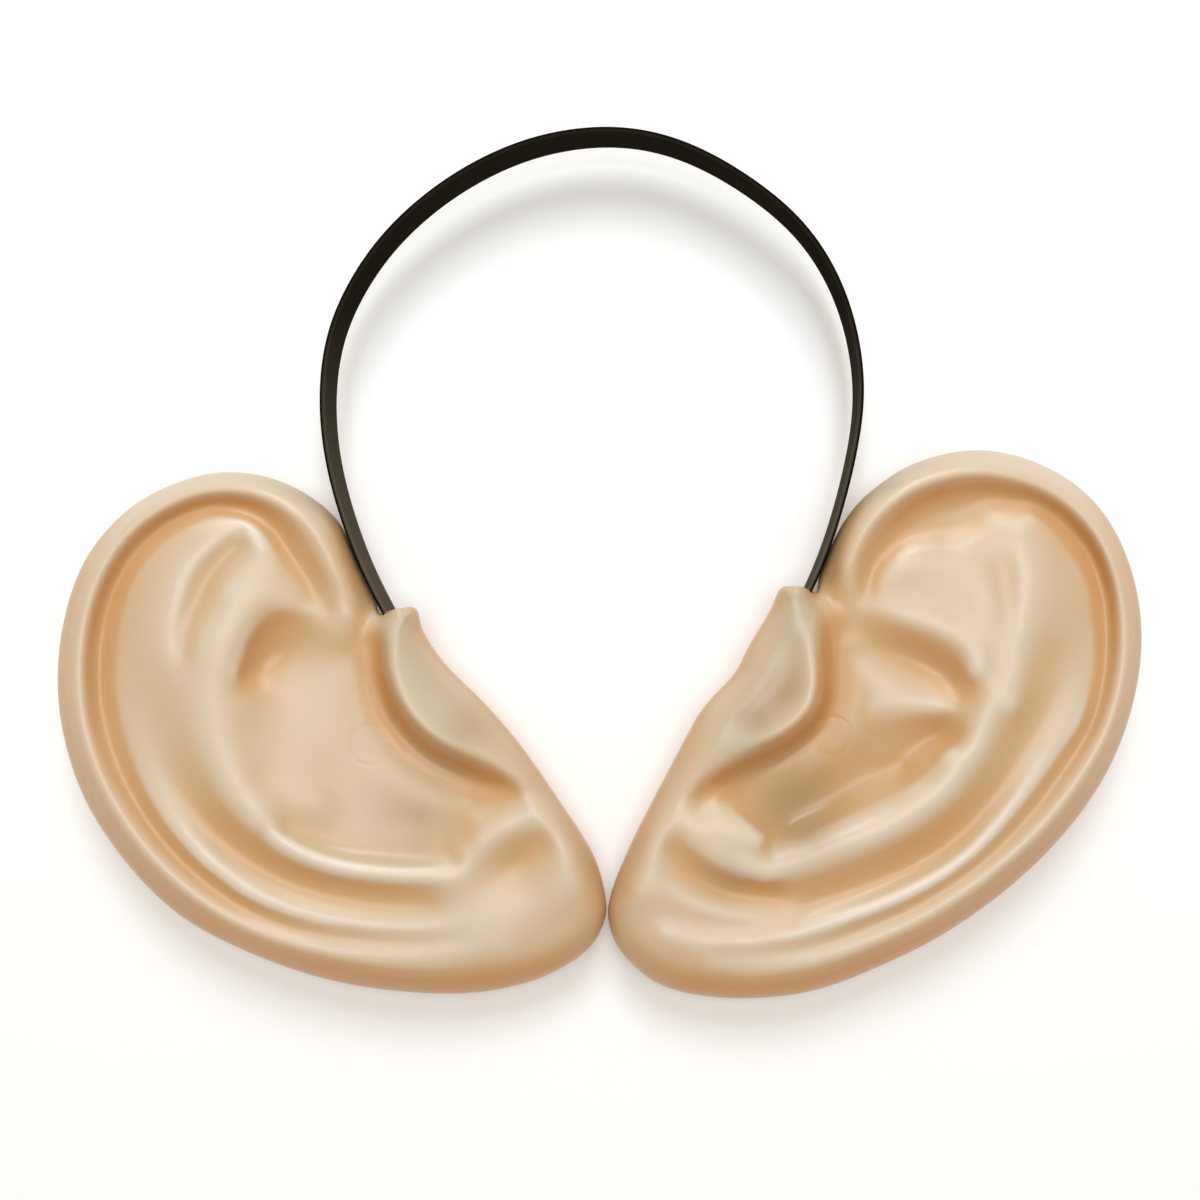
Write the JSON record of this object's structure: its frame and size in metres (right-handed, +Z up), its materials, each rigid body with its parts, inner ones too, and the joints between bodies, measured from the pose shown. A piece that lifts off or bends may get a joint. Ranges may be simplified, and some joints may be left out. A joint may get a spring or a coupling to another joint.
{
  "type": "ear headband",
  "caption": "Giant soft-vinyl ears on a thin plastic headband, a costume headpiece lying on the open backs of the ears.",
  "frame": {"origin": "on the table, under the middle of the whole outline", "axes": "+Z up from the table, the way the ears face; +Y towards the crown of the headband; +X towards the ear on the right"},
  "size_m": [0.271, 0.2174, 0.0284],
  "materials": {
    "band_plastic": "black, slightly glossy strip",
    "ear_vinyl": "flesh-coloured soft vinyl with a satin sheen and warmer hollows"
  },
  "bodies": {
    "root": {"headband": "band_plastic", "ear_left": "ear_vinyl", "ear_right": "ear_vinyl"}
  },
  "joints": []
}
